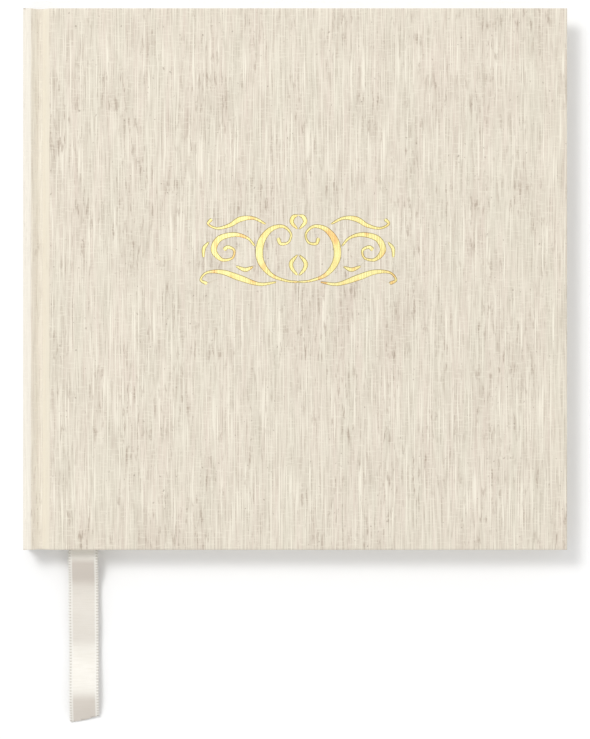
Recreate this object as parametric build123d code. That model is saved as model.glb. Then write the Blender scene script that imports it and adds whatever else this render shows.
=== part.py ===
from build123d import *
import math
import os

os.makedirs("parts", exist_ok=True)

# Wedding guest book: a square, case-bound book that lies closed on its back cover.
# Millimetres. The origin is the centre of the back cover's outer face, +Z is up through the
# book, +Y is the head, +X is the fore edge, and the spine is on the -X side.

# --- driving dimensions ---
book_width = 210.0          # spine to fore edge, over the covers
book_height = 209.0         # head to tail, over the covers
square = 3.0                # how far the covers stand out past the pages
cloth = 0.45                # bookcloth with its paper backing
board = 2.4                 # greyboard of the covers and of the spine
turn_in = 15.0              # cloth folded round the board edges
end_paper = 0.2             # pastedowns and flyleaves
mull_thick = 0.15           # gauze that ties the page block to the covers
mull_flap = 26.0            # how far the gauze reaches onto a board
groove = 10.4               # spine face to the edge of the cover's raised panel
groove_floor = 1.6          # flat bottom of the groove
leaf = 0.17                 # one page leaf
sheets_per_section = 4      # folded sheets nested in one section
section_count = 6           # sewn sections in the page block
ribbon_width = 11.0
ribbon_thick = 0.2
ribbon_free = 66.1          # ribbon past the tail of the covers, seen from above
ribbon_from_fold = 1.6      # spine side of the ribbon to the fold of the pages, at the head
ribbon_from_spine = 18.0    # spine side of the ribbon to the spine face, at the tail
kettle_inset = 13.5         # first and last sewing holes, from the ends of the pages
station_count = 6           # sewing holes in each fold
lining_inset = 6.0          # spine lining, from the ends of the pages
lining_thick = 0.2

# --- clearances ---
leaf_gap = 0.015            # between two leaves of a section
fold_gap = 0.15             # in the middle of a section, where the thread runs
section_gap = 0.02          # between two sections, and at the flyleaves
cover_gap = 0.05            # between a flyleaf and the cover on it
ribbon_gap = 0.02           # above and below the ribbon
spine_hollow = 0.7          # spine turn-ins to the lining on the page block
lining_gap = 0.05           # lining to the line on which the sections turn
lip = 0.3                   # spine edge below the level of the covers
mull_margin = 1.5           # gauze to the turn-ins at head and tail
tab_gap = 0.02              # each side of the ribbon's glued end
past_cover = 0.3            # the free ribbon begins just past the covers
ribbon_over = 0.3           # ribbon clear of the headband
bend_gap = 0.3              # room for the spine board's edge as it turns

# --- heights, from the table up ---
cover_thick = 2 * cloth + board + end_paper
leaves_in_section = 2 * sheets_per_section
section_thick = leaves_in_section * leaf + (leaves_in_section - 2) * leaf_gap + fold_gap
ribbon_slot = ribbon_thick + 2 * ribbon_gap
block_base = cover_thick + cover_gap
sections_base = block_base + end_paper + section_gap
half_count = section_count // 2
lower_top = sections_base + half_count * section_thick + (half_count - 1) * section_gap
book_thick = 2 * lower_top + ribbon_slot
mid_height = book_thick / 2

# --- places across the book ---
spine_x = -book_width / 2
half_height = book_height / 2
page_half = half_height - square
fore_edge = book_width / 2 - square
hinge_inset = cloth + board / 2             # both cover hinges, from the spine face and the table
spine_inner = spine_x + 2 * cloth + board   # over the turn-ins
lining_x = spine_inner + spine_hollow
turn_x = lining_x - lining_gap              # line on which the sections turn
block_x = lining_x + lining_thick + ribbon_thick + 2 * tab_gap
panel_x = spine_x + groove                  # edge of the raised panel
board_x = panel_x + cloth


def block(x0, x1, y0, y1, z0, z1):
    """A box between two corners."""
    return Pos((x0 + x1) / 2, (y0 + y1) / 2, (z0 + z1) / 2) * Box(x1 - x0, y1 - y0, z1 - z0)


def wide(x0, x1, half, z0, z1):
    """A box that reaches as far to the head as to the tail."""
    return block(x0, x1, -half, half, z0, z1)


def flip(shape):
    """The same piece on the front cover: upside down about the middle of the book."""
    return mirror(shape, about=Plane.XY.offset(mid_height))


def band_outline(points, thick):
    """Corners of a strip that runs along points and is thick to their left."""
    normals = []
    for (ax, az), (bx, bz) in zip(points, points[1:]):
        run = math.hypot(bx - ax, bz - az)
        normals.append((-(bz - az) / run, (bx - ax) / run))
    inner = []
    for i, (x, z) in enumerate(points):
        before = normals[max(i - 1, 0)]
        after = normals[min(i, len(normals) - 1)]
        sx, sz = before[0] + after[0], before[1] + after[1]
        reach = 2 * thick / (sx * sx + sz * sz)
        inner.append((x + sx * reach, z + sz * reach))
    return points + inner[::-1]


def band(points, thick, half):
    """A bent strip: its section in XZ, reaching half to the head and to the tail."""
    outline = Plane.XZ * make_face(Polyline(*band_outline(points, thick), close=True))
    return extrude(outline, half, both=True)


def save(shape, name):
    export_step(shape, f"parts/{name}.step")


# --- covers: built for the back cover, and turned over for the front ---
bend_x = spine_inner + bend_gap             # the cloth keeps its shape from here to the cover


def groove_line():
    """Outer face of the cloth, from the edge of the spine board to the raised panel."""
    floor = cover_thick - end_paper - mull_thick - cloth
    low_x = spine_x + (board + cloth + groove) / 2
    return [
        (spine_inner, lip),
        (low_x - groove_floor / 2, floor),
        (low_x + groove_floor / 2, floor),
        (panel_x, 0),
    ]


def cover_board():
    return wide(board_x, book_width / 2 - cloth, half_height - cloth, cloth, cloth + board)


def cover_cloth():
    """Panel, wrapped edges and turn-ins, with the strip that is pressed into the groove."""
    top = cloth + board + cloth
    skin = wide(panel_x, book_width / 2, half_height, 0, top) - cover_board()
    skin -= wide(panel_x, book_width / 2 - turn_in, half_height - turn_in, cloth + board, top)
    skin -= wide(panel_x, board_x, half_height, cloth, top)
    strip = band(groove_line(), cloth, half_height)
    strip -= wide(panel_x, board_x + board, half_height, cloth, top)
    strip -= wide(spine_x - board, bend_x, half_height, -board, top)
    return skin + strip


def joint_cloth():
    """The bend of the cloth round one long edge of the spine board."""
    line = [(spine_x, hinge_inset), (spine_x, lip)] + groove_line()
    bend = band(line, cloth, half_height)
    return bend - wide(bend_x, board_x + board, half_height, -board, cover_thick)


def cover_mull():
    top = cover_thick - end_paper
    return wide(block_x + section_gap, board_x + mull_flap, half_height - turn_in - mull_margin,
                top - mull_thick, top)


def pastedown():
    """Glued over the turn-ins and the gauze, and down onto the bare board between them."""
    x1 = fore_edge
    sheet = wide(block_x + section_gap, x1, page_half, cover_thick - end_paper, cover_thick)
    well_x0 = board_x + mull_flap + section_gap
    well_x1 = book_width / 2 - turn_in - section_gap
    well_half = half_height - turn_in - section_gap
    floor = cloth + board
    sheet += wide(well_x0, well_x1, well_half, floor, cover_thick)
    sheet -= wide(well_x0 + end_paper, well_x1 - end_paper, well_half - end_paper,
                  floor + end_paper, cover_thick)
    return sheet


for side, place in (("back", lambda piece: piece), ("front", flip)):
    save(place(cover_board()), f"{side}_board")
    save(place(joint_cloth()), f"{side}_joint_cloth")
    save(place(cover_mull()), f"{side}_mull")
    save(place(pastedown()), f"{side}_pastedown")
save(cover_cloth(), "back_cloth")

# --- gold foil ornament: a flourish pressed into the front cloth ---
ornament_x = 1.3
ornament_y = 9.6
press_depth = 0.2
foil_thick = 0.05
swash = [(1.0, -1.6), (7.5, 3.4), (16.0, 4.6), (24.5, 0.2), (31.5, -4.4), (37.0, -3.0), (36.6, 1.6),
         (32.6, 1.0)]
under = [(2.4, -6.0), (9.0, -11.4), (17.5, -11.6), (24.0, -7.6)]
curl = [(1.2, 4.2), (4.6, 11.4), (11.0, 14.4), (16.4, 11.6), (14.4, 8.0), (11.0, 9.2)]
strokes = ((swash, 1.15), (under, 0.9), (curl, 0.8))
lozenge = (1.5, 3.4)                      # half width and half height of the middle mark


def stroke(points, half_wide):
    """A pen stroke: pointed at both ends and full in the middle."""
    last = len(points) - 1
    sides = ([points[0]], [points[0]])
    for i in range(1, last):
        dx = points[i + 1][0] - points[i - 1][0]
        dy = points[i + 1][1] - points[i - 1][1]
        run = math.hypot(dx, dy)
        swell = half_wide * math.sin(math.pi * i / last) ** 0.7
        for side, sign in zip(sides, (1, -1)):
            side.append((points[i][0] - sign * dy / run * swell, points[i][1] + sign * dx / run * swell))
    edges = [Spline(*(side + [points[last]])) for side in sides]
    return make_face(edges)


def ornament(z0, z1):
    """Every stroke and its mirror image, as one slab each."""
    faces = []
    for points, half_wide in strokes:
        right = stroke(points, half_wide)
        faces += [right, mirror(right, about=Plane.YZ)]
    dx, dy = lozenge
    faces.append(make_face(Polyline((dx, 0), (0, dy), (-dx, 0), (0, -dy), close=True)))
    place = Pos(ornament_x, ornament_y, z0)
    return [place * extrude(face, z1 - z0) for face in faces]


front_cloth = flip(cover_cloth())
for mark in ornament(book_thick - press_depth, book_thick + 1):
    front_cloth -= mark
save(front_cloth, "front_cloth")
foil = ornament(book_thick - press_depth, book_thick - press_depth + foil_thick)
save(Compound(children=foil), "foil_ornament")

# --- spine ---
save(wide(spine_x + cloth, spine_x + cloth + board, half_height - cloth,
          lip + cloth, book_thick - lip - cloth), "spine_board")
spine_skin = wide(spine_x, spine_inner, half_height, hinge_inset, book_thick - hinge_inset)
spine_skin -= wide(spine_x + cloth, spine_x + cloth + board, half_height - cloth,
                   hinge_inset, book_thick - hinge_inset)
spine_skin -= wide(spine_x + cloth + board, spine_inner, half_height - turn_in,
                   hinge_inset, book_thick - hinge_inset)
save(spine_skin, "spine_cloth")

# --- page block: flyleaves, and sections numbered from the front ---
sewn_half = page_half - kettle_inset
station_step = 2 * sewn_half / (station_count - 1)
stations = [i * station_step - sewn_half for i in range(station_count)]
thread_wide = 0.6
thread_thick = 0.1
hole_half = 0.6


def section_floor(number):
    """Height of the underside of a section, the ribbon lying between the two middle ones."""
    from_back = section_count - number
    floor = sections_base + from_back * (section_thick + section_gap)
    if from_back >= half_count:
        floor += ribbon_slot - section_gap
    return floor


def folded_sheet(nest, base):
    """Two leaves and their fold; nest 0 is the outermost sheet."""
    step = nest * (leaf + leaf_gap)
    outer = wide(block_x + step, fore_edge, page_half, base + step, base + section_thick - step)
    outer -= wide(block_x + step + leaf, fore_edge, page_half,
                  base + step + leaf, base + section_thick - step - leaf)
    middle = base + section_thick / 2
    for y in stations:
        outer -= block(block_x, block_x + step + leaf, y - hole_half, y + hole_half,
                       middle - fold_gap / 2 + leaf_gap / 2, middle + fold_gap / 2 - leaf_gap / 2)
    return outer


def thread(base):
    """Thread along the middle of a section, out through the fold at each hole."""
    middle = base + section_thick / 2
    inside_x = block_x + sheets_per_section * (leaf + leaf_gap)
    z0, z1 = middle - thread_thick / 2, middle + thread_thick / 2
    runs = block(inside_x, inside_x + thread_wide, stations[0], stations[-1], z0, z1)
    for y in stations:
        runs += block(block_x, inside_x + thread_wide, y - thread_wide / 2, y + thread_wide / 2, z0, z1)
    return runs


for number in range(1, section_count + 1):
    base = section_floor(number)
    save(Compound(children=[folded_sheet(nest, base) for nest in range(sheets_per_section)]),
         f"section_{number}")
    save(thread(base), f"sewing_thread_{number}")

back_flyleaf = wide(block_x, fore_edge, page_half, block_base, block_base + end_paper)
save(back_flyleaf, "back_flyleaf")
save(flip(back_flyleaf), "front_flyleaf")

# --- spine lining and the woven bands at head and tail ---
save(wide(lining_x, lining_x + lining_thick, page_half - lining_inset, block_base, book_thick - block_base),
     "spine_lining")
bead = 1.3                                # cord core of a band, wound with thread
band_skirt = 5.5                          # woven skirt, glued on the block above the lining


def end_band():
    z0, z1 = block_base + end_paper, book_thick - block_base - end_paper
    skirt_x1 = lining_x + lining_thick
    roll_y = page_half + section_gap + bead / 2
    skirt = block(lining_x, skirt_x1, page_half - band_skirt, roll_y, z0, z1)
    roll = Pos(lining_x + bead / 2, roll_y, (z0 + z1) / 2) * Cylinder(bead / 2, z1 - z0)
    return skirt + roll


save(end_band(), "headband")
save(mirror(end_band(), about=Plane.XZ), "tailband")

# --- ribbon marker: glued to the spine at the head, over the headband, between the middle
#     sections, and out at the tail, where it drops to the table and lies in shallow waves ---
ribbon_in_x = block_x + ribbon_from_fold
ribbon_out_x = spine_x + ribbon_from_spine
tab_length = 24.0                         # glued to the spine under the lining
gather = 3.0                              # the ribbon is drawn together where it turns over
ribbon_z0 = mid_height - ribbon_thick / 2
ribbon_z1 = mid_height + ribbon_thick / 2
head_y = page_half + bead + ribbon_over
leave_y = -half_height - past_cover


def flat_ribbon():
    corners = [
        (ribbon_in_x, head_y), (ribbon_in_x + ribbon_width, head_y),
        (ribbon_out_x + ribbon_width, leave_y), (ribbon_out_x, leave_y),
    ]
    return Pos(0, 0, ribbon_z0) * extrude(make_face(Polyline(*corners, close=True)), ribbon_thick)


def ribbon_anchor():
    """The end glued under the lining, and the bight that passes over the headband."""
    z0, z1 = mid_height - gather / 2, mid_height + gather / 2
    tab_x = block_x - tab_gap - ribbon_thick
    rise_x = lining_x - ribbon_thick
    skirt_y = page_half - band_skirt
    low_y = skirt_y - ribbon_thick - tab_gap
    tab = block(tab_x, tab_x + ribbon_thick, skirt_y - tab_length, page_half - section_gap,
                block_base + end_paper, book_thick - block_base - end_paper)
    over = block(rise_x, ribbon_in_x + ribbon_width, head_y, head_y + ribbon_thick, z0, z1)
    rise = block(rise_x, lining_x, low_y, head_y, z0, z1)
    tuck = block(rise_x, tab_x + ribbon_thick, low_y, skirt_y - tab_gap, z0, z1)
    return tab + tuck + rise + over


def ribbon_tail():
    """Free end: down to the table in one fall, then two shallow waves and a slanted cut."""
    fall, rest_z, wave, cut_angle = 12.5, 0.05, 1.1, 12
    length = ribbon_free - past_cover
    lying = length - fall
    spots = [(0, ribbon_z0), (-3.0, ribbon_z0 - 0.9), (-fall + 1.5, rest_z + 0.5)]
    spots += [(-fall - lying * share, rest_z + wave * lift)
              for share, lift in ((0.05, 0), (0.28, 1), (0.5, 0), (0.74, 0.8), (0.9, 0), (1.0, 0.2))]
    lower = Spline(*[(leave_y + y, z) for y, z in spots])
    upper = Spline(*[(leave_y + y, z + ribbon_thick) for y, z in spots])
    ends = [Line(lower @ 0, upper @ 0), Line(lower @ 1, upper @ 1)]
    side_view = Plane.YZ.offset(ribbon_out_x) * make_face([lower, upper] + ends)
    strip = extrude(side_view, ribbon_width)
    cut = Pos(ribbon_out_x, leave_y - length, 0) * Rot(0, 0, cut_angle) * Box(
        3 * ribbon_width, ribbon_width, ribbon_width, align=(Align.CENTER, Align.MAX, Align.CENTER))
    return strip - cut


save(flat_ribbon(), "ribbon")
save(ribbon_anchor(), "ribbon_anchor")
save(ribbon_tail(), "ribbon_tail")
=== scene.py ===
import math

import bmesh
import bpy
import numpy as np
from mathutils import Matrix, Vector, geometry


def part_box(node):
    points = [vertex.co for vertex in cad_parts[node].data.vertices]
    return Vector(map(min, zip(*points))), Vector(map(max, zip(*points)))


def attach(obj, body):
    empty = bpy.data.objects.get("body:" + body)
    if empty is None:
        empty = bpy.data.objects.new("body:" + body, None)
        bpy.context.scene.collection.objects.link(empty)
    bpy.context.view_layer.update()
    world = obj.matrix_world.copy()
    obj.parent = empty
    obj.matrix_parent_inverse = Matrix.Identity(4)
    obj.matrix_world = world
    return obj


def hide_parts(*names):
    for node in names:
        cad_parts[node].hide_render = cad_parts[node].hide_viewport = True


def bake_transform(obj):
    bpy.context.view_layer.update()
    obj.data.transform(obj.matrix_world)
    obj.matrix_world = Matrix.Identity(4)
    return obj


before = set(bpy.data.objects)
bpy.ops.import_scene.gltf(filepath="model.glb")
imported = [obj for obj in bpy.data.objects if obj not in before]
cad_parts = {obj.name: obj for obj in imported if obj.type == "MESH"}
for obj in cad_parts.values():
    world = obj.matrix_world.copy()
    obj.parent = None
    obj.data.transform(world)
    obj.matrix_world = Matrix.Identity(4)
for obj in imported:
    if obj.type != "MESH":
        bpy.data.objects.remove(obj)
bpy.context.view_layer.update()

# --- boards ---
# Dense grey binder's board, cut for the two covers and the spine. The case cloth and the
# pastedowns hide it, apart from a sliver at the ends of the spine.

mm = 0.001


class Value:
    """A socket inside a finish. Arithmetic on it adds the math nodes."""

    def __init__(self, finish, socket):
        self.finish, self.socket = finish, socket

    def math(self, operation, *others):
        inputs = dict(enumerate((self,) + others))
        return self.finish.node("ShaderNodeMath", inputs, operation=operation)

    def __add__(self, other):
        return self.math("ADD", other)

    def __mul__(self, other):
        return self.math("MULTIPLY", other)

    def __sub__(self, other):
        return self.math("SUBTRACT", other)

    def __rsub__(self, other):
        return self * -1 + other

    def above(self, low, high):
        """0 under low, 1 over high, and an even slope between."""
        inputs = {"Value": self, "From Min": low, "From Max": high}
        return self.finish.node("ShaderNodeMapRange", inputs, interpolation_type="SMOOTHSTEP")

    __rmul__ = __mul__


class Finish:
    """A material of nodes around one Principled shader."""

    def __init__(self, name, **constants):
        self.material = bpy.data.materials.new(name)
        self.material.use_nodes = True
        self.shader = self.material.node_tree.nodes["Principled BSDF"]
        for key, value in constants.items():
            self.shader.inputs[key.replace("_", " ")].default_value = value

    def node(self, kind, inputs, output=0, **settings):
        made = self.material.node_tree.nodes.new(kind)
        for key, value in settings.items():
            setattr(made, key, value)
        for key, value in inputs.items():
            self.feed(made.inputs[key], value)
        return Value(self, made.outputs[output])

    def feed(self, socket, value):
        if isinstance(value, Value):
            self.material.node_tree.links.new(value.socket, socket)
        else:
            socket.default_value = value

    def place(self, source="Object"):
        return self.node("ShaderNodeTexCoord", {}, output=source)

    def noise(self, place, per_metre, detail=2.0, rough=0.5):
        """Noise with its own number of features to the metre along each axis."""
        spread = self.node("ShaderNodeVectorMath", {0: place, 1: per_metre}, operation="MULTIPLY")
        inputs = {"Vector": spread, "Scale": 1.0, "Detail": detail, "Roughness": rough}
        return self.node("ShaderNodeTexNoise", inputs)

    def blend(self, amount, first, second):
        """Mixes two colours."""
        inputs = {"Factor": amount, 6: first, 7: second}
        return self.node("ShaderNodeMix", inputs, output=2, data_type="RGBA")

    def finish(self, colour, roughness=None, height=None, depth=0.0, strength=1.0):
        """Feeds the shader, and turns a height into a bump of that depth in metres."""
        self.feed(self.shader.inputs["Base Color"], colour)
        if roughness is not None:
            self.feed(self.shader.inputs["Roughness"], roughness)
        if height is not None:
            bump = {"Height": height, "Distance": depth, "Strength": strength}
            self.feed(self.shader.inputs["Normal"], self.node("ShaderNodeBump", bump))
        return self.material


def give(piece, material):
    """Puts one finish on a whole piece."""
    piece.data.materials.clear()
    piece.data.materials.append(material)


greyboard = Finish("greyboard", Roughness=0.9)
fibre = greyboard.noise(greyboard.place(), (900, 900, 2500), 6)
greyboard.finish(greyboard.blend(fibre, (0.20, 0.19, 0.175, 1), (0.33, 0.315, 0.29, 1)),
                 height=fibre, depth=0.1 * mm)
for node in ("front_board", "back_board", "spine_board"):
    give(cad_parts[node], greyboard.material)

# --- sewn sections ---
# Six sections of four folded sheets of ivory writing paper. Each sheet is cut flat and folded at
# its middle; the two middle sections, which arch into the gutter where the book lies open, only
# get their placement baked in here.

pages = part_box("section_3")
fold_x, fore_x = pages[0][0], pages[1][0]
page_half = pages[1][1]
leaf, leaf_gap = 0.17 * mm, 0.015 * mm
gutter_cuts = [cut * mm for cut in (0.6, 1.3, 2.1, 3.0, 4.0, 5.2, 6.6, 8.2, 10.0, 12.0, 14.5, 18.0, 40.0)]
middle_z = (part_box("section_4")[1][2] + pages[0][2]) / 2
same_place = 0.001 * mm


def edit(piece):
    """Opens one piece in edit mode with nothing selected."""
    if bpy.context.mode != "OBJECT":
        bpy.ops.object.mode_set(mode="OBJECT")
    bpy.ops.object.select_all(action="DESELECT")
    piece.select_set(True)
    bpy.context.view_layer.objects.active = piece
    bpy.ops.object.mode_set(mode="EDIT")
    bpy.ops.mesh.select_mode(type="VERT")
    bpy.ops.mesh.select_all(action="DESELECT")


def pick(piece, kind, test):
    """Selects the vertices, edges or faces whose middle passes a test."""
    bm = bmesh.from_edit_mesh(piece.data)
    for part in getattr(bm, kind):
        middle = part.co if kind == "verts" else sum((v.co for v in part.verts), Vector()) / len(part.verts)
        part.select = bool(test(part, middle))
    bm.select_flush_mode()
    bmesh.update_edit_mesh(piece.data)


def mark_flat(piece):
    """Writes each corner's flat place in metres to the UV map, which keeps it through the folds."""
    bm = bmesh.from_edit_mesh(piece.data)
    weave = bm.loops.layers.uv.active
    for face in bm.faces:
        for corner in face.loops:
            corner[weave].uv = corner.vert.co.xy
    bmesh.update_edit_mesh(piece.data)


def sheet_of(name, x0, x1, y0, y1, z, cuts_x=(), cuts_y=()):
    """A flat-cut rectangle with crease lines, left in edit mode."""
    bpy.ops.mesh.primitive_plane_add(size=1)
    piece = bpy.context.object
    piece.name = name
    edit(piece)
    bpy.ops.mesh.select_all(action="SELECT")
    bpy.ops.transform.resize(value=(x1 - x0, y1 - y0, 1))
    bpy.ops.transform.translate(value=((x0 + x1) / 2, (y0 + y1) / 2, z))
    for cuts, normal in ((cuts_x, (1, 0, 0)), (cuts_y, (0, 1, 0))):
        for cut in cuts:
            bpy.ops.mesh.select_all(action="SELECT")
            bpy.ops.mesh.bisect(plane_co=[cut * n for n in normal], plane_no=normal)
    mark_flat(piece)
    return piece


def fold(piece, beyond, line, axis, degrees):
    """Turns all that lies beyond a crease, told by its flat place, about that crease."""
    bm = bmesh.from_edit_mesh(piece.data)
    weave = bm.loops.layers.uv.active
    for vert in bm.verts:
        vert.select = bool(vert.link_loops) and beyond(*vert.link_loops[0][weave].uv)
    bm.select_flush_mode()
    bmesh.update_edit_mesh(piece.data)
    bpy.ops.transform.rotate(value=-math.radians(degrees), orient_axis=axis, orient_type="GLOBAL",
                             center_override=line)


def settle(piece, thick=None, offset=-1.0, smooth=35, even=True):
    """Leaves edit mode, gives a sheet its thickness, and shades round bends smoothly."""
    bpy.ops.object.mode_set(mode="OBJECT")
    if thick:
        solid = piece.modifiers.new("thickness", "SOLIDIFY")
        solid.thickness, solid.offset, solid.use_even_offset = thick, offset, even
        bpy.ops.object.modifier_apply(modifier=solid.name)
    bpy.ops.object.shade_smooth_by_angle(angle=math.radians(smooth))
    return piece


def joined(name, pieces):
    """Several pieces as one."""
    bpy.ops.object.select_all(action="DESELECT")
    for piece in pieces:
        piece.select_set(True)
    bpy.context.view_layer.objects.active = pieces[0]
    bpy.ops.object.join()
    pieces[0].name = name
    return pieces[0]


def folded_sheet(name, nest, low, high):
    """One sheet of a section: two leaves and their rounded fold."""
    step = nest * (leaf + leaf_gap) + leaf / 2
    x, z, rise = fold_x + step, low + step, high - low - 2 * step
    reach = fore_x - x
    near = [x + cut for cut in gutter_cuts]
    far = [x - rise - cut for cut in gutter_cuts]
    piece = sheet_of(name, x - rise - reach, fore_x, -page_half, page_half, z,
                     cuts_x=far + [x - rise, x] + near)
    fold(piece, lambda u, v: u < x - rise - same_place, (x - rise, 0, z), "Y", 90)
    fold(piece, lambda u, v: u < x - same_place, (x, 0, z), "Y", 90)
    bpy.ops.mesh.select_mode(type="EDGE")
    pick(piece, "edges", lambda edge, at: abs(at.x - x) < same_place and abs(at.y) < same_place)
    bpy.ops.mesh.bevel(offset=rise * 0.45, segments=3, affect="EDGES")
    return settle(piece, leaf, offset=0.0, smooth=60)


def follow_arch(piece, number):
    """Rides on its section's body; the two middle ones only get their placement baked in."""
    if number in (3, 4):
        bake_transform(piece)
    else:
        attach(piece, "back_cover" if number == 6 else f"leaves_{number}")


paper = Finish("page_paper", Roughness=0.82, Specular_IOR_Level=0.25)
at = paper.place()
pulp = paper.noise(at, (350, 350, 350), 5)
# Fine stripes across the page edges are partly bump and partly painted shade between the leaves; on the faces
# of the leaves the same noise only varies the tone.
leaf_shade_and_tone = paper.noise(at, (25, 25, 7200), 3)
cloudy = paper.noise(at, (22, 22, 22), 2)
tone = pulp * 0.35 + cloudy * 0.35 + leaf_shade_and_tone * 0.3
paper.finish(paper.blend(tone.above(0.25, 0.75), (0.76, 0.73, 0.655, 1), (0.86, 0.835, 0.77, 1)),
             height=pulp * 0.5 + leaf_shade_and_tone, depth=0.04 * mm)

for number in range(1, 7):
    low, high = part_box(f"section_{number}")
    sheets = [folded_sheet(f"sheet_{number}_{nest}", nest, low[2], high[2]) for nest in range(4)]
    section = joined(f"sewn_section_{number}", sheets)
    give(section, paper.material)
    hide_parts(f"section_{number}")
    follow_arch(section, number)

# --- sewing thread ---
# Waxed linen thread, laid along the middle of each section and drawn out through the fold at
# six holes, so that the sections hang together at their backs.

linen = Finish("linen_thread", Roughness=0.7)
twist = linen.noise(linen.place(), (900, 2600, 900), 1)
linen.finish(linen.blend(twist, (0.72, 0.68, 0.58, 1), (0.90, 0.87, 0.79, 1)), height=twist, depth=0.05 * mm)
hole_count = 6
thread_thick = 0.12 * mm
thread_end = 0.3 * mm


def tube(name, points, thick):
    """A thread laid along a line of points."""
    curve = bpy.data.curves.new(name, "CURVE")
    curve.dimensions, curve.bevel_depth, curve.bevel_resolution = "3D", thick / 2, 1
    run = curve.splines.new("POLY")
    run.points.add(len(points) - 1)
    for point, place in zip(run.points, points):
        point.co = (*place, 1)
    piece = bpy.data.objects.new(name, curve)
    bpy.context.collection.objects.link(piece)
    bpy.ops.object.select_all(action="DESELECT")
    piece.select_set(True)
    bpy.context.view_layer.objects.active = piece
    bpy.ops.object.convert(target="MESH")
    piece = bpy.context.object
    piece.name = name
    return piece


for number in range(1, 7):
    low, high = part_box(f"sewing_thread_{number}")
    z = (low[2] + high[2]) / 2
    x = high[0] - thread_end
    step = (high[1] - low[1] - 2 * thread_end) / (hole_count - 1)
    run = [(x, low[1] + thread_end, z), (x, high[1] - thread_end, z)]
    parts = [tube("run", run, thread_thick)]
    for i in range(hole_count):
        y = run[0][1] + i * step
        parts.append(tube("stitch", [(low[0] + 0.1 * mm, y, z), (x, y, z)], thread_thick))
    thread = joined(f"linen_thread_{number}", parts)
    give(thread, linen.material)
    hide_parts(f"sewing_thread_{number}")
    follow_arch(thread, number)

# --- gauze and spine lining ---
# Starched gauze ties the block to the covers at the joints, and creped paper lines the backs
# of the sections. Both are hidden in the closed book.

gauze = Finish("mull_gauze", Roughness=0.9)
at = gauze.place()
warp = gauze.node("ShaderNodeTexWave", {"Vector": at, "Scale": 190.0}, output=1, bands_direction="X")
weft = gauze.node("ShaderNodeTexWave", {"Vector": at, "Scale": 190.0}, output=1, bands_direction="Y")
gauze.finish(gauze.blend((warp + weft) * 0.5, (0.55, 0.50, 0.40, 1), (0.86, 0.83, 0.75, 1)),
             height=warp + weft, depth=0.08 * mm)
for node in ("front_mull", "back_mull"):
    give(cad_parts[node], gauze.material)

crepe = Finish("crepe_lining", Roughness=0.85)
crinkle = crepe.noise(crepe.place(), (600, 1900, 180), 5)
crepe.finish(crepe.blend(crinkle, (0.50, 0.39, 0.25, 1), (0.72, 0.60, 0.43, 1)),
             height=crinkle, depth=0.15 * mm)
bend_cuts = [0.4 * i * mm - 4 * mm for i in range(21)]


def standing_sheet(name, x, low, high, y0, y1, cuts=()):
    """A sheet cut flat and stood up across the back of the block, left in edit mode."""
    piece = sheet_of(name, low - middle_z, high - middle_z, y0, y1, 0, cuts_x=cuts)
    bpy.ops.mesh.select_all(action="SELECT")
    bpy.ops.transform.rotate(value=math.radians(90), orient_axis="Y", orient_type="GLOBAL",
                             center_override=(0, 0, 0))
    bpy.ops.transform.translate(value=(x, 0, middle_z))
    return piece


def bend_with_spine(piece):
    """Bakes its placement into the mesh, for the back of the block."""
    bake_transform(piece)


low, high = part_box("spine_lining")
lining = standing_sheet("spine_lining_paper", high[0], low[2], high[2], low[1], high[1], bend_cuts)
settle(lining, high[0] - low[0], offset=1.0)
give(lining, crepe.material)
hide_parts("spine_lining")
bend_with_spine(lining)

# --- headband and tailband ---
# A cord core wound with silk, ivory with a pale gold wrap at every fourth turn, on a woven
# skirt that is glued to the ends of the lining.

silk = Finish("silk_band", Roughness=0.45)
strand = silk.noise(silk.place(), (2600, 2600, 500), 2)
silk.finish(silk.blend(strand, (0.78, 0.74, 0.64, 1), (0.93, 0.91, 0.84, 1)), height=strand, depth=0.05 * mm)
gilt_silk = Finish("gilt_silk", Roughness=0.4)
strand = gilt_silk.noise(gilt_silk.place(), (2600, 2600, 500), 2)
gilt_silk.finish(gilt_silk.blend(strand, (0.62, 0.47, 0.22, 1), (0.80, 0.66, 0.38, 1)),
                 height=strand, depth=0.05 * mm)


def end_band(name, node, side):
    """Windings round the cord, and the skirt below them."""
    low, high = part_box(node)
    outer_y, inner_y = (high[1], low[1]) if side > 0 else (low[1], high[1])
    radius = 0.65 * mm
    x, y = low[0] + radius, outer_y - side * radius
    turns = 24
    pitch = (high[2] - low[2]) / turns
    wound = pitch * 0.55
    skirt_thick = 0.2 * mm
    parts = []
    for i in range(turns):
        bpy.ops.mesh.primitive_torus_add(
            location=(x, y, low[2] + (i + 0.5) * pitch), rotation=(math.radians(8), 0, 0),
            major_segments=14, minor_segments=6, major_radius=radius - wound, minor_radius=wound)
        bpy.ops.object.transform_apply(location=True, rotation=True, scale=False)
        give(bpy.context.object, gilt_silk.material if i % 4 == 1 else silk.material)
        parts.append(bpy.context.object)
    skirt = standing_sheet("skirt", low[0] + skirt_thick, low[2], high[2], *sorted((y, inner_y)), bend_cuts)
    settle(skirt, skirt_thick, offset=1.0)
    give(skirt, silk.material)
    band = joined(name, parts + [skirt])
    bpy.ops.object.shade_smooth_by_angle(angle=math.radians(50))
    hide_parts(node)
    bend_with_spine(band)


end_band("woven_headband", "headband", 1)
end_band("woven_tailband", "tailband", -1)

# --- endpapers ---
# Heavy ivory endpapers. The flyleaves lie free on the block. The pastedowns are glued over the
# turn-ins and sink onto the bare board between them, which leaves a soft ridge all round.

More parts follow.
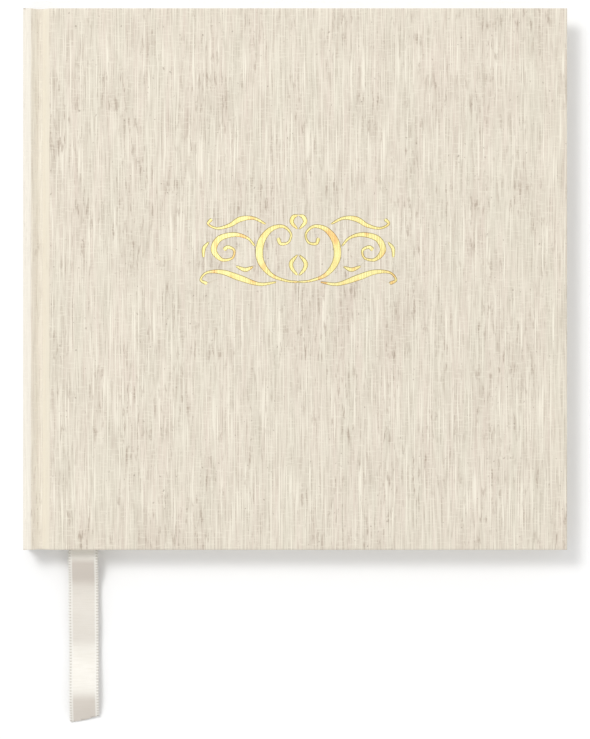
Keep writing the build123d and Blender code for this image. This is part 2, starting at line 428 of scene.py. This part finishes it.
endpaper = Finish("endpaper", Roughness=0.78, Specular_IOR_Level=0.3)
at = endpaper.place()
felt = endpaper.noise(at, (420, 420, 420), 6)
flecks = endpaper.noise(at, (1500, 260, 900), 1)
cloudy = endpaper.noise(at, (30, 30, 30), 3)
colour = endpaper.blend((felt + cloudy) * 0.5, (0.80, 0.765, 0.685, 1), (0.88, 0.85, 0.78, 1))
colour = endpaper.blend(flecks.above(0.66, 0.74) * 0.5, colour, (0.93, 0.91, 0.86, 1))
endpaper.finish(colour, height=felt, depth=0.06 * mm)
end_thick = 0.2 * mm
turn_in = 15 * mm
slope = 1.1 * mm

for side, rider in (("front", "leaves_1"), ("back", "back_cover")):
    low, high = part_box(f"{side}_flyleaf")
    z = (low[2] + high[2]) / 2
    flyleaf = sheet_of(f"{side}_free_endpaper", low[0], high[0], low[1], high[1], z,
                       cuts_x=[low[0] + cut for cut in gutter_cuts])
    settle(flyleaf, end_thick, offset=0.0)
    give(flyleaf, endpaper.material)
    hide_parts(f"{side}_flyleaf")
    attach(flyleaf, rider)

    low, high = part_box(f"{side}_pastedown")
    up = 1 if side == "front" else -1
    z = low[2] if side == "front" else high[2]
    sink = high[2] - low[2] - end_thick
    mull_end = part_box(f"{side}_mull")[1][0]
    cloth_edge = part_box(f"{side}_cloth")[1]
    well = (mull_end, cloth_edge[0] - turn_in, cloth_edge[1] - turn_in)
    pasted = sheet_of(f"{side}_pasted_endpaper", low[0], high[0], low[1], high[1], z,
                      cuts_x=(well[0], well[0] + slope, well[1] - slope, well[1]),
                      cuts_y=(-well[2], slope - well[2], well[2] - slope, well[2]))
    margin = slope * 0.9
    sunk_x = (well[0] + margin, well[1] - margin)
    pick(pasted, "verts", lambda v, at: sunk_x[0] < at.x < sunk_x[1] and abs(at.y) < well[2] - margin)
    bpy.ops.transform.translate(value=(0, 0, up * sink))
    bpy.ops.mesh.select_mode(type="EDGE")
    bpy.ops.mesh.edges_select_sharp(sharpness=math.radians(12))
    bpy.ops.mesh.bevel(offset=0.4 * mm, segments=2, affect="EDGES")
    settle(pasted, end_thick, offset=up, smooth=60)
    give(pasted, endpaper.material)
    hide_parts(f"{side}_pastedown")
    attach(pasted, "front_cover" if side == "front" else "back_cover")

# --- case cloth ---
# Raw silk with a paper back. Each half is cut flat, turned in round its board with mitred
# corners, pressed down into the groove and carried round the spine to the middle of it.

front_low, front_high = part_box("front_cloth")
board_low, board_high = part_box("front_board")
cloth = front_high[2] - board_high[2]
outer_z = front_high[2]
case_half, spine_x = front_high[1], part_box("spine_cloth")[0][0]
panel_x = board_low[0] - cloth
edge_depth = front_high[2] - front_low[2]
spine_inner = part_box("spine_cloth")[1][0]
lip = outer_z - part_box("front_joint_cloth")[1][2]
floor_x, floor_half = (panel_x + spine_inner - cloth) / 2, 0.8 * mm
floor_z = outer_z - 2.7 * mm
groove_path = [
    (panel_x, outer_z),
    (floor_x + floor_half, floor_z),
    (floor_x - floor_half, floor_z),
    (spine_inner, outer_z - lip),
    (spine_x, outer_z - lip),
    (spine_x, middle_z),
]
spine_round, edge_round = 1.4 * mm, 0.6 * mm
weld = 0.01 * mm

silk_cloth = Finish("raw_silk_bookcloth", Roughness=0.8, Specular_IOR_Level=0.25, Sheen_Weight=0.15)
at = silk_cloth.place("UV")
ribs = silk_cloth.noise(at, (1650, 42, 1), 2, 0.6)
fine_ribs = silk_cloth.noise(at, (3000, 95, 1), 1)
bright_ends = silk_cloth.noise(at, (1900, 30, 1), 1)
dark_gaps = silk_cloth.noise(at, (2300, 60, 1), 1)
slubs = silk_cloth.noise(at, (950, 125, 1), 3, 0.65)
long_slubs = silk_cloth.noise(at, (520, 36, 1), 3, 0.6)
neps = silk_cloth.noise(at, (800, 560, 1), 2)
wefts = silk_cloth.noise(at, (260, 1500, 1), 2)
bands = silk_cloth.noise(at, (200, 26, 1), 3)
warmth = silk_cloth.noise(at, (170, 20, 1), 2)
patchy = silk_cloth.noise(at, (75, 24, 1), 4, 0.6)
crossing = silk_cloth.node("ShaderNodeTexWave", {"Vector": at, "Scale": 480.0}, output=1, bands_direction="Y")
ground_tone = silk_cloth.blend(warmth.above(0.34, 0.66), (0.685, 0.637, 0.530, 1), (0.722, 0.632, 0.540, 1))
shaded = silk_cloth.blend(bands.above(0.46, 0.74) * 0.45, ground_tone, (0.555, 0.490, 0.405, 1))
ribbed = silk_cloth.blend(ribs.above(0.32, 0.68) * 0.85, shaded, (0.800, 0.745, 0.630, 1))
ribbed = silk_cloth.blend(fine_ribs.above(0.45, 0.72) * 0.55, ribbed, (0.560, 0.500, 0.410, 1))
ribbed = silk_cloth.blend(dark_gaps.above(0.54, 0.70) * 0.6, ribbed, (0.500, 0.440, 0.355, 1))
lit = silk_cloth.blend(bright_ends.above(0.57, 0.67) * 0.75, ribbed, (0.900, 0.850, 0.725, 1))
slubbed = silk_cloth.blend(long_slubs.above(0.57, 0.74) * 0.42, lit, (0.485, 0.400, 0.325, 1))
clustered = slubs.above(0.52, 0.70) * patchy.above(0.42, 0.62) * 0.85
slubbed = silk_cloth.blend(clustered, slubbed, (0.40, 0.325, 0.255, 1))
slubbed = silk_cloth.blend(patchy.above(0.50, 0.72) * 0.20, slubbed, (0.485, 0.395, 0.325, 1))
flecked = silk_cloth.blend(neps.above(0.67, 0.78) * 0.65, slubbed, (0.30, 0.245, 0.195, 1))
woven = silk_cloth.blend(wefts.above(0.52, 0.70) * 0.45, flecked, (0.825, 0.770, 0.650, 1))

# The hot rule that sets the groove smooths its rising side, which eases the bump there. The colour
# holds painted light: a painted highlight on the rising side, which faces the light, painted light
# over the shade of the falling side and floor, and a painted highlight on the rounded spine edge.
flat_x = silk_cloth.node("ShaderNodeSeparateXYZ", {0: at})
rise_start = panel_x - math.dist(groove_path[0], groove_path[1]) + 0.2 * mm
ironed_and_highlit_rise = flat_x.above(rise_start - 0.3 * mm, rise_start) * (1 - flat_x.above(panel_x - 0.5 * mm, panel_x))
painted_light_falling_side = 1 - flat_x.above(rise_start - 0.3 * mm, rise_start)
painted_highlight_spine_edge = 1 - flat_x.above(panel_x - 9.6 * mm, panel_x - 9.0 * mm)
# Painted highlight on the lit rising side, painted light over the shaded falling side and floor, and a
# painted highlight on the spine edge.
woven = silk_cloth.blend(ironed_and_highlit_rise * 0.82, woven, (0.795, 0.735, 0.610, 1))
woven = silk_cloth.blend(painted_light_falling_side * 0.36, woven, (0.86, 0.80, 0.68, 1))
woven = silk_cloth.blend(painted_highlight_spine_edge * 0.42, woven, (0.880, 0.850, 0.780, 1))
relief = ribs * 0.9 + fine_ribs * 0.35 + slubs.above(0.55, 0.8) * 0.7 + wefts * 0.35 + crossing * 0.15
silk_cloth.finish(woven, height=relief * (1 - ironed_and_highlit_rise * 0.8), depth=0.16 * mm, strength=0.8)


def drop(piece, test):
    """Cuts away the faces of a flat sheet that pass a test."""
    bpy.ops.mesh.select_mode(type="FACE")
    pick(piece, "faces", test)
    bpy.ops.mesh.delete(type="FACE")
    bpy.ops.mesh.select_mode(type="VERT")


def case_cloth(name, opening=()):
    """The front half of the case cloth up to the middle of the spine, left in edit mode."""
    steps = list(zip(groove_path, groove_path[1:]))
    runs = [math.dist(a, b) for a, b in steps]
    turns = [math.degrees(math.atan2(b[1] - a[1], a[0] - b[0])) for a, b in steps]
    creases = [panel_x - sum(runs[:i]) for i in range(len(runs))]
    end = panel_x - sum(runs)
    fore = front_high[0]
    fore_wrap, wrap, reach = fore + edge_depth, case_half + edge_depth, case_half + edge_depth + turn_in
    hem, inset = 1.6 * mm, 1.6 * mm
    piece = sheet_of(name, end, fore_wrap + turn_in, -reach, reach, outer_z,
                     cuts_x=creases + [panel_x + inset, *opening[:2], fore - inset, fore, fore_wrap],
                     cuts_y=[-wrap, -case_half - hem, -case_half, inset - case_half, *opening[2:],
                             case_half - inset, case_half, case_half + hem, wrap])
    drop(piece, lambda face, at: abs(at.y) > case_half and at.x > fore)
    drop(piece, lambda face, at: abs(at.y) > case_half + hem and creases[-1] < at.x < panel_x)
    drop(piece, lambda face, at: abs(at.y) > wrap and at.x < panel_x)
    if opening:
        drop(piece, lambda face, at: opening[0] < at.x < opening[1] and opening[2] < at.y < opening[3])
    for side in (1, -1):
        for x in (fore, fore - inset):
            pick(piece, "verts",
                 lambda v, at: side * at.y > reach - same_place and abs(at.x - x) < same_place)
            bpy.ops.transform.translate(value=(-turn_in, 0, 0))
        for y in (case_half, case_half - inset):
            pick(piece, "verts",
                 lambda v, at: at.x > fore_wrap + same_place and abs(side * at.y - y) < same_place)
            bpy.ops.transform.translate(value=(0, -side * turn_in, 0))
    mark_flat(piece)
    for side in (1, -1):
        for y in (wrap, case_half):
            fold(piece, lambda u, v: side * v > y + same_place, (0, side * y, outer_z), "X", -side * 90)
    for x in (fore_wrap, fore):
        fold(piece, lambda u, v: u > x + same_place, (x, 0, outer_z), "Y", 90)
    for crease, before, after in reversed(list(zip(creases, [0] + turns, turns))):
        fold(piece, lambda u, v: u < crease - same_place, (crease, 0, outer_z), "Y", after - before)
    bpy.ops.mesh.select_all(action="SELECT")
    bpy.ops.mesh.remove_doubles(threshold=weld)
    bpy.ops.mesh.select_mode(type="EDGE")
    spine_edge = Vector((spine_x, 0, outer_z - lip))
    pick(piece, "edges", lambda edge, at: (at - spine_edge).xz.length < weld)
    bpy.ops.mesh.bevel(offset=spine_round, segments=3, affect="EDGES")
    bpy.ops.mesh.select_all(action="DESELECT")
    bpy.ops.mesh.edges_select_sharp(sharpness=math.radians(36))
    bpy.ops.mesh.bevel(offset=edge_round, segments=3, affect="EDGES")
    bm = bmesh.from_edit_mesh(piece.data)
    for vert in bm.verts:
        vert.co.y = max(-case_half, min(case_half, vert.co.y))
        vert.co.z = min(outer_z, vert.co.z)
    bmesh.update_edit_mesh(piece.data)
    return piece


# --- gold flourish ---
# Two mirrored pen scrolls blocked in gold foil with a heated die, which presses them a little
# into the cloth. Each stroke swells and thins as a pointed pen would draw it.

emblem_low, emblem_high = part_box("foil_ornament")
emblem_x, emblem_y = (emblem_low[0] + emblem_high[0]) / 2, (emblem_low[1] + emblem_high[1]) / 2
emblem_half = ((emblem_high[0] - emblem_low[0]) / 2, (emblem_high[1] - emblem_low[1]) / 2)
pressed_z = outer_z - 0.22 * mm
rim = 0.24 * mm

# Each stroke is a run of (across, up, width) in mm, for the right half, from the middle outwards.
pen_strokes = [
    [(0.0, -12.7, 0.4), (4.6, -12.2, 0.5), (10.6, -9.6, 1.2), (14.6, -3.6, 2.3), (14.4, 3.6, 2.4),
     (10.8, 9.0, 1.6), (6.0, 10.4, 0.8), (2.9, 7.4, 0.45), (3.8, 3.8, 0.5), (6.8, 3.2, 0.8), (7.8, 5.6, 1.1)],
    [(16.8, 2.4, 0.4), (19.6, 5.6, 0.6), (24.6, 7.0, 1.3), (30.4, 5.2, 1.9), (32.4, 0.4, 1.9),
     (29.4, -3.4, 0.9), (25.4, -2.8, 0.45), (24.6, 0.4, 0.5), (27.0, 1.8, 0.9), (28.6, 0.6, 1.2)],
    [(0.45, 9.4, 0.4), (2.5, 12.0, 1.1), (2.0, 14.2, 1.2), (0.45, 15.0, 0.5)],
    [(12.6, 11.4, 0.4), (17.2, 13.8, 0.8), (22.2, 13.4, 1.6), (26.4, 10.8, 1.1), (31.2, 9.6, 0.5),
     (34.6, 11.4, 0.5), (33.2, 13.4, 1.0)],
    [(0.45, -1.6, 0.4), (2.7, -4.6, 1.2), (2.4, -7.2, 1.0), (0.45, -9.8, 0.4)],
    [(8.6, -12.8, 0.4), (15.0, -13.6, 0.9), (22.6, -11.0, 1.9), (29.2, -8.6, 1.4), (35.0, -8.8, 0.5),
     (37.4, -11.8, 0.5), (35.0, -13.4, 1.0)],
    [(17.4, -6.4, 0.4), (20.4, -7.6, 1.2), (23.8, -6.2, 0.4)],
    [(34.4, 3.8, 0.4), (36.2, 1.2, 1.0), (36.4, -2.4, 0.4)],
]
drawn_half = (38.0, 15.2)
finest = 0.36


def curve_through(points, steps):
    """An even curve through points, with so many steps from each to the next."""
    knots = [Vector(p) for p in points]
    knots = [knots[0] * 2 - knots[1]] + knots + [knots[-1] * 2 - knots[-2]]
    line = []
    for a, b, c, d in zip(knots, knots[1:], knots[2:], knots[3:]):
        for i in range(steps):
            t = i / steps
            line.append((2 * b + (c - a) * t + (2 * a - 5 * b + 4 * c - d) * t ** 2
                         + (3 * b - a - 3 * c + d) * t ** 3) / 2)
    return line + [knots[-2]]


def pressed_ground(x0, x1, y0, y1):
    """Flat places, heights, faces and foiled faces of the ground that the die presses."""
    level_from, foil_until = 0.85, 0.9
    fit = (emblem_half[0] / mm / drawn_half[0], emblem_half[1] / mm / drawn_half[1])
    middle = (emblem_x / mm, emblem_y / mm)
    flat = [Vector(place) / mm for place in ((x0, y0), (x1, y0), (x1, y1), (x0, y1))]
    loops = [[0, 1, 2, 3]]
    starts, ends, start_half, end_half = [], [], [], []
    for points in pen_strokes:
        for mirror in (1, -1):
            line = curve_through(points, 8)
            places = [Vector((mirror * p.x * fit[0] + middle[0], p.y * fit[1] + middle[1])) for p in line]
            halves = [max(p.z, finest) / 2 * min(1.0, (i + 1.5) / 4, (len(line) - i + 0.5) / 3)
                      for i, p in enumerate(line)]
            for extra in (rim / mm, 0.0):
                base = len(flat)
                for i, (place, half) in enumerate(zip(places, halves)):
                    along = (places[min(i + 1, len(places) - 1)] - places[max(i - 1, 0)]).normalized()
                    aside = Vector((-along.y, along.x)) * (half + extra)
                    flat += [place - aside, place + aside]
                loops += [[base + 2 * i, base + 2 * i + 2, base + 2 * i + 3, base + 2 * i + 1]
                          for i in range(len(places) - 1)]
            starts += [place * mm for place in places[:-1]]
            ends += [place * mm for place in places[1:]]
            start_half += [half * mm for half in halves[:-1]]
            end_half += [half * mm for half in halves[1:]]
    places, _, faces = geometry.delaunay_2d_cdt(flat, [], loops, 1, 1e-4)[:3]
    spots = np.array([tuple(p) for p in places]) * mm
    middles = np.array([spots[list(face)].mean(axis=0) for face in faces])
    depths = []
    for where in (spots, middles):
        depth = np.ones(len(where))
        for a, b, half_a, half_b in zip(starts, ends, start_half, end_half):
            a, run = np.array(a), np.array(b) - np.array(a)
            t = np.clip((where - a) @ run / (run @ run), 0, 1)
            away = np.linalg.norm(where - a - t[:, None] * run, axis=1) - (half_a + (half_b - half_a) * t)
            depth = np.minimum(depth, np.clip(away / rim, 0, 1))
        depths.append(np.where(depth > level_from, 1.0, depth))
    heights = pressed_z + (outer_z - pressed_z) * depths[0]
    return spots, heights, faces, depths[1] < foil_until


def add_ground(bm, ground, lift=0.0, foiled_only=False):
    """Adds the pressed ground to a mesh, all of it or only what the foil covers."""
    places, heights, faces, foiled = ground
    weave = bm.loops.layers.uv.active or bm.loops.layers.uv.new("UVMap")
    verts = [bm.verts.new((p[0], p[1], z + lift)) for p, z in zip(places, heights)]
    for face, gold in zip(faces, foiled):
        if gold or not foiled_only:
            made = bm.faces.new([verts[i] for i in face])
            for corner in made.loops:
                corner[weave].uv = corner.vert.co.xy
    bmesh.ops.delete(bm, geom=[v for v in verts if not v.link_faces], context="VERTS")


field_margin = 2 * mm
emblem_reach = (emblem_half[0] + field_margin, emblem_half[1] + field_margin)
emblem_field = (emblem_x - emblem_reach[0], emblem_x + emblem_reach[0],
                emblem_y - emblem_reach[1], emblem_y + emblem_reach[1])
ground = pressed_ground(*emblem_field)

front_case = case_cloth("front_case_cloth", emblem_field)
bm = bmesh.from_edit_mesh(front_case.data)
add_ground(bm, ground)
bmesh.update_edit_mesh(front_case.data)
field_corners = [Vector((x, y)) for x in emblem_field[:2] for y in emblem_field[2:]]
pick(front_case, "verts",
     lambda v, at: min((at.xy - corner).length for corner in field_corners) < same_place)
bpy.ops.mesh.remove_doubles(threshold=weld)
settle(front_case, cloth, smooth=34, even=False)
give(front_case, silk_cloth.material)
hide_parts("front_cloth", "front_joint_cloth")
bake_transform(front_case)

foil = Finish("gold_foil", Metallic=1.0, Specular_IOR_Level=0.5)
at = foil.place()
worn = foil.noise(at, (260, 190, 260), 4)
ribbed_under = foil.noise(at, (2100, 26, 1), 2, 0.6)
coppery = foil.noise(at, (150, 90, 1), 2)
tint = foil.blend(worn.above(0.3, 0.7), (0.94, 0.85, 0.40, 1), (0.80, 0.68, 0.28, 1))
tint = foil.blend(coppery.above(0.52, 0.66) * 0.65, tint, (0.84, 0.45, 0.17, 1))
height = foil.node("ShaderNodeSeparateXYZ", {0: at}, output=2)
# Painted shade darkens the foil on the walls of the pressed recess, all round each stroke.
die_wall_shade = height.above(pressed_z + 0.04 * mm, outer_z - 0.05 * mm)
foil.finish(foil.blend(die_wall_shade * 0.85, tint, (0.36, 0.30, 0.13, 1)),
            roughness=worn * 0.2 + 0.26, height=ribbed_under + worn * 0.4, depth=0.10 * mm)
foil_thick, foil_lift = 0.02 * mm, 0.015 * mm
bm = bmesh.new()
add_ground(bm, ground, lift=foil_lift, foiled_only=True)
mesh = bpy.data.meshes.new("gold_flourish")
bm.to_mesh(mesh)
bm.free()
emblem = bpy.data.objects.new("gold_flourish", mesh)
bpy.context.collection.objects.link(emblem)
edit(emblem)
settle(emblem, foil_thick, smooth=20)
give(emblem, foil.material)
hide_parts("foil_ornament")
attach(emblem, "front_cover")

# --- back of the case ---
# The other half of the case cloth, mirrored, which meets the first at the middle of the spine,
# and the turn-ins of the spine, glued to the inside of its board at the head and the tail.

back_case = case_cloth("back_case_cloth")
bpy.ops.mesh.select_all(action="SELECT")
bpy.ops.transform.resize(value=(1, 1, -1), center_override=(0, 0, middle_z))
bpy.ops.mesh.flip_normals()
settle(back_case, cloth, smooth=34, even=False)
seam = min(corner.uv.x for corner in back_case.data.uv_layers.active.data)
for corner in back_case.data.uv_layers.active.data:
    corner.uv.x = 2 * seam - corner.uv.x
give(back_case, silk_cloth.material)
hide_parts("back_cloth", "back_joint_cloth", "spine_cloth")
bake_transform(back_case)

low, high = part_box("spine_board")
side_gap, end_gap = 0.3 * mm, 0.4 * mm
turn_ins = []
for side in (1, -1):
    y0, y1 = sorted((side * (case_half - end_gap), side * (case_half - turn_in)))
    turned_in = standing_sheet("turn_in", spine_inner, low[2] + side_gap, high[2] - side_gap, y0, y1)
    turn_ins.append(settle(turned_in, cloth))
spine_turn_ins = joined("spine_turn_ins", turn_ins)
give(spine_turn_ins, silk_cloth.material)
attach(spine_turn_ins, "spine")

# --- ribbon marker ---
# One length of ivory satin with a picot edge. Its head is glued to the back of the block and
# comes over the headband; it lies between the two middle sections and hangs out at the tail.

ribbon_low, ribbon_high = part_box("ribbon")
ribbon_thick = ribbon_high[2] - ribbon_low[2]
tail_low, tail_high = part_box("ribbon_tail")
ribbon_half = (tail_high[0] - tail_low[0]) / 2
picot_pitch = 1.15 * mm

# Painted shade bands cross the first 72 mm of the satin, on the loose end's slopes that face away from the
# light. Pieces that don't show them start further on.
satin = Finish("satin_ribbon", Roughness=0.38, Specular_IOR_Level=0.55, Sheen_Weight=0.2)
at = satin.place("UV")
picks = satin.noise(at, (120, 3600, 1), 1)
floats = satin.noise(at, (5200, 240, 1), 1)
soft = satin.noise(at, (160, 130, 1), 2)
across = satin.node("ShaderNodeSeparateXYZ", {0: at})
out = satin.node("ShaderNodeMath", {0: across}, operation="ABSOLUTE")
along = satin.node("ShaderNodeSeparateXYZ", {0: at}, output=1)
edge_band = out.above(4.05 * mm, 4.6 * mm)
beat = satin.node("ShaderNodeMath", {0: along * (2 * math.pi / picot_pitch)}, operation="SINE")
# Painted shade dots in the gaps between the picot loops along both edges.
picot_gap_shade = out.above(4.75 * mm, 4.95 * mm) * beat.above(0.1, 0.6)
body = satin.blend(soft, (0.80, 0.765, 0.69, 1), (0.88, 0.85, 0.785, 1))
body = satin.blend(picks.above(0.4, 0.8) * 0.35, body, (0.70, 0.655, 0.57, 1))
# Painted shade on the loose end where it slopes away from the light.
shade_band_top = along.above(2.5 * mm, 6 * mm) * (1 - along.above(12 * mm, 17 * mm) * 0.55)
shade_band_end = 0.85 * along.above(56 * mm, 61 * mm) * (1 - along.above(70 * mm, 72 * mm))
painted_shade_bands = shade_band_top * (1 - along.above(36 * mm, 41 * mm)) + shade_band_end
body = satin.blend(painted_shade_bands * 0.66, body, (0.50, 0.43, 0.37, 1))
edged = satin.blend(edge_band * 0.75, body, (0.86, 0.84, 0.785, 1))
satin.finish(satin.blend(picot_gap_shade * 0.55, edged, (0.46, 0.42, 0.34, 1)), roughness=edge_band * 0.25 + 0.36,
             height=picks + floats * 0.6 - picot_gap_shade * 2.0, depth=0.05 * mm)


def flat_ribbon(name, length, cut=()):
    """A flat length of ribbon along Y from 0, and its picot loops."""
    rows = int(length / mm)
    piece = sheet_of(name, -ribbon_half, ribbon_half, 0, length, 0,
                     cuts_x=[-4.3 * mm, -2 * mm, 0, 2 * mm, 4.3 * mm],
                     cuts_y=[length * i / rows for i in range(1, rows)])
    settle(piece, ribbon_thick, offset=0.0, smooth=40)
    bpy.ops.mesh.primitive_torus_add(location=(ribbon_half - 0.05 * mm, picot_pitch, 0), major_segments=12,
                                     minor_segments=5, major_radius=0.40 * mm, minor_radius=0.095 * mm)
    loops = bpy.context.object
    edit(loops)
    pick(loops, "verts", lambda v, at: at.x < -0.1 * mm)
    bpy.ops.mesh.delete(type="VERT")
    bpy.ops.mesh.select_all(action="SELECT")
    bm = bmesh.from_edit_mesh(loops.data)
    weave = bm.loops.layers.uv.active
    for face in bm.faces:
        for corner in face.loops:
            corner[weave].uv = (ribbon_half, corner.vert.co.y)
    bmesh.update_edit_mesh(loops.data)
    bpy.ops.object.mode_set(mode="OBJECT")
    bpy.ops.object.transform_apply(location=True, rotation=False, scale=False)
    row = loops.modifiers.new("row", "ARRAY")
    row.use_relative_offset, row.use_constant_offset = False, True
    row.constant_offset_displace, row.count = (0, picot_pitch, 0), int(length / picot_pitch) - 1
    bpy.ops.object.modifier_apply(modifier=row.name)
    both = loops.modifiers.new("both_edges", "MIRROR")
    both.use_mirror_merge = False
    bpy.ops.object.modifier_apply(modifier=both.name)
    bpy.ops.object.shade_smooth_by_angle(angle=math.radians(60))
    loops.name = name + "_picots"
    for part in (piece, loops):
        edit(part)
        for place, normal in cut:
            bpy.ops.mesh.select_all(action="SELECT")
            bpy.ops.mesh.bisect(plane_co=place, plane_no=normal, clear_outer=True, use_fill=True)
        bpy.ops.object.mode_set(mode="OBJECT")
    return piece, loops


def lay_along(pieces, centre):
    """Lays a flat ribbon on a line. centre(s) gives the place and the direction across at s."""
    small = 0.05 * mm
    for piece in pieces:
        for vert in piece.data.vertices:
            x, s, z = vert.co
            place, across = centre(s)
            along = (centre(s + small)[0] - centre(s - small)[0]).normalized()
            vert.co = place + across * x + across.cross(along).normalized() * z
        piece.data.update()


def finish_ribbon(pieces, node, length, hold, starts_at=0.0, share=1.0):
    """The finish, and what the ribbon and its picots move with. The flat size is worked out and not kept."""
    for part in pieces:
        for corner in part.data.uv_layers.active.data:
            corner.uv.y += starts_at
        give(part, satin.material)
        hold(part)
    if node:
        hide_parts(node)
    2 * ribbon_half * length * share


def line_through(points):
    """A smooth line through points, told by the length along it, and its whole length."""
    fine = curve_through(points, 40)
    marks = [0.0]
    for a, b in zip(fine, fine[1:]):
        marks.append(marks[-1] + (b - a).length)

    def at_length(s):
        if s <= 0:
            return fine[0] + (fine[1] - fine[0]).normalized() * s
        if s >= marks[-1]:
            return fine[-1] + (fine[-1] - fine[-2]).normalized() * (s - marks[-1])
        low, high = 0, len(marks) - 1
        while high - low > 1:
            middle = (low + high) // 2
            low, high = (middle, high) if marks[middle] <= s else (low, middle)
        return fine[low].lerp(fine[high], (s - marks[low]) / (marks[high] - marks[low]))

    return at_length, marks[-1]


# The loose end bows down from the leaves, stiff enough to stand a little off the table, and rests
# on it with its slanted cut.

leave_x, leave_y, leave_z = (tail_low[0] + tail_high[0]) / 2 - 0.85 * mm, tail_high[1], middle_z
down = [(0.0, 0.0, 0.0), (0.0, 3.6, -0.15), (-0.05, 7.8, -1.6), (-0.1, 12.0, -4.0), (-0.1, 16.2, -5.0),
        (-0.1, 21, -4.9), (-0.05, 26.5, -4.5), (0.0, 32.0, -4.9), (0.0, 37.4, -5.7), (0.05, 43.0, -5.7),
        (0.05, 50.0, -4.8), (0.1, 56.0, -4.2), (0.1, 62.0, -5.3), (0.1, 68.0, -8.45)]
tail_points = [(leave_x + x * mm, leave_y - y * mm, leave_z + z * mm) for x, y, z in down]
tail_line, tail_length = line_through(tail_points)
slant = math.tan(math.radians(15))
near_slant, far_slant = slant * 0.75, slant * 1.3
ribbon_end = flat_ribbon("ribbon_loose_end", tail_length + 1 * mm,
                         cut=[((ribbon_half, tail_length, 0), (-near_slant, 1, 0)),
                              ((0, tail_length - ribbon_half * near_slant, 0), (-far_slant, 1, 0))])


def tail_place(s):
    """Turns a little from side to side as it goes down."""
    lean = 0.05 * math.sin(s / (9 * mm))
    return tail_line(s), Vector((-math.cos(lean), 0, math.sin(lean) * min(1, s / (20 * mm))))


lay_along(ribbon_end, tail_place)
finish_ribbon(ribbon_end, "ribbon_tail", tail_length,
              lambda part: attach(part, "ribbon_end"))

# The length between the leaves.

top_x, top_y = ribbon_low[0] + ribbon_half, ribbon_high[1]
inner_points = []
for i in range(9):
    t = i / 8
    ease = t * t * (3 - 2 * t)
    inner_points.append((top_x + (leave_x - top_x) * ease, top_y + (leave_y - top_y) * t, middle_z))
inner_line, inner_length = line_through(inner_points)
inner = flat_ribbon("ribbon_between_leaves", inner_length)
lay_along(inner, lambda s: (inner_line(s), Vector((-1, 0, 0))))
past_shade_bands = 87 * picot_pitch
finish_ribbon(inner, "ribbon", inner_length, lambda part: follow_arch(part, 4),
              starts_at=past_shade_bands)

# The head, glued to the lining, and the bight over the headband.

anchor_low, anchor_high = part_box("ribbon_anchor")
band_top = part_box("headband")[1][1]
back_x, start_y, bight_y = anchor_low[0], anchor_low[1], anchor_high[1]
head_points = [(back_x + 0.1 * mm, start_y, middle_z),
               (back_x + 0.1 * mm, start_y + 12 * mm, middle_z),
               (back_x + 0.1 * mm, band_top - 2.5 * mm, middle_z),
               (back_x + 0.7 * mm, band_top - 0.1 * mm, middle_z),
               (back_x + 2.6 * mm, bight_y - 0.25 * mm, middle_z),
               (top_x - 1.2 * mm, bight_y - 0.5 * mm, middle_z),
               (top_x, top_y - 1.0 * mm, middle_z)]
head_line, head_length = line_through(head_points)
glued = 26 * mm
gathered = 0.88


def head_place(s):
    """Upright on the back of the block, and turned flat where it enters the leaves."""
    t = max(0.0, min(1.0, (s - glued) / (head_length - glued - 1 * mm)))
    turn = math.radians(90) * t * t * (3 - 2 * t)
    return head_line(s), Vector((-math.sin(turn), 0, -math.cos(turn))) * (gathered + (1 - gathered) * t)


head = flat_ribbon("ribbon_head", glued)
lay_along(head, head_place)
bight = flat_ribbon("ribbon_bight", head_length - glued)
lay_along(bight, lambda s: head_place(s + glued))
for part in head + bight:
    for vert in part.data.vertices:
        vert.co.x = max(vert.co.x, back_x - 0.15 * mm)
finish_ribbon(head, "ribbon_anchor", glued, bend_with_spine, starts_at=past_shade_bands)
finish_ribbon(bight, None, head_length - glued,
              lambda part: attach(part, "leaves_4"), starts_at=past_shade_bands + 23 * picot_pitch, share=0.85)

# --- stage ---
# A white table top under soft light from the upper left, seen from straight above.

bpy.ops.mesh.primitive_plane_add(size=4)
table = bpy.context.object
table.name = "table_top"
floor = Finish("white_table", Roughness=0.9, Specular_IOR_Level=0.0)
give(table, floor.finish((0.95, 0.95, 0.95, 1)))

world = bpy.data.worlds.new("studio")
bpy.context.scene.world = world
world.use_nodes = True
world.node_tree.nodes["Background"].inputs["Color"].default_value = (1, 1, 1, 1)
world.node_tree.nodes["Background"].inputs["Strength"].default_value = 0.785

bpy.ops.object.light_add(type="AREA", location=(-0.80, 0.84, 2.2))
key = bpy.context.object
key.name = "soft_box"
key.data.size = 0.66
key.data.energy = 24
key.rotation_euler = (-key.location).to_track_quat("-Z", "Y").to_euler()

bpy.ops.object.camera_add(location=(0, -0.0349, 1.205))
camera = bpy.context.object
camera.data.lens = 150
camera.data.clip_end = 10
bpy.context.scene.camera = camera
bpy.context.scene.view_settings.view_transform = "Standard"
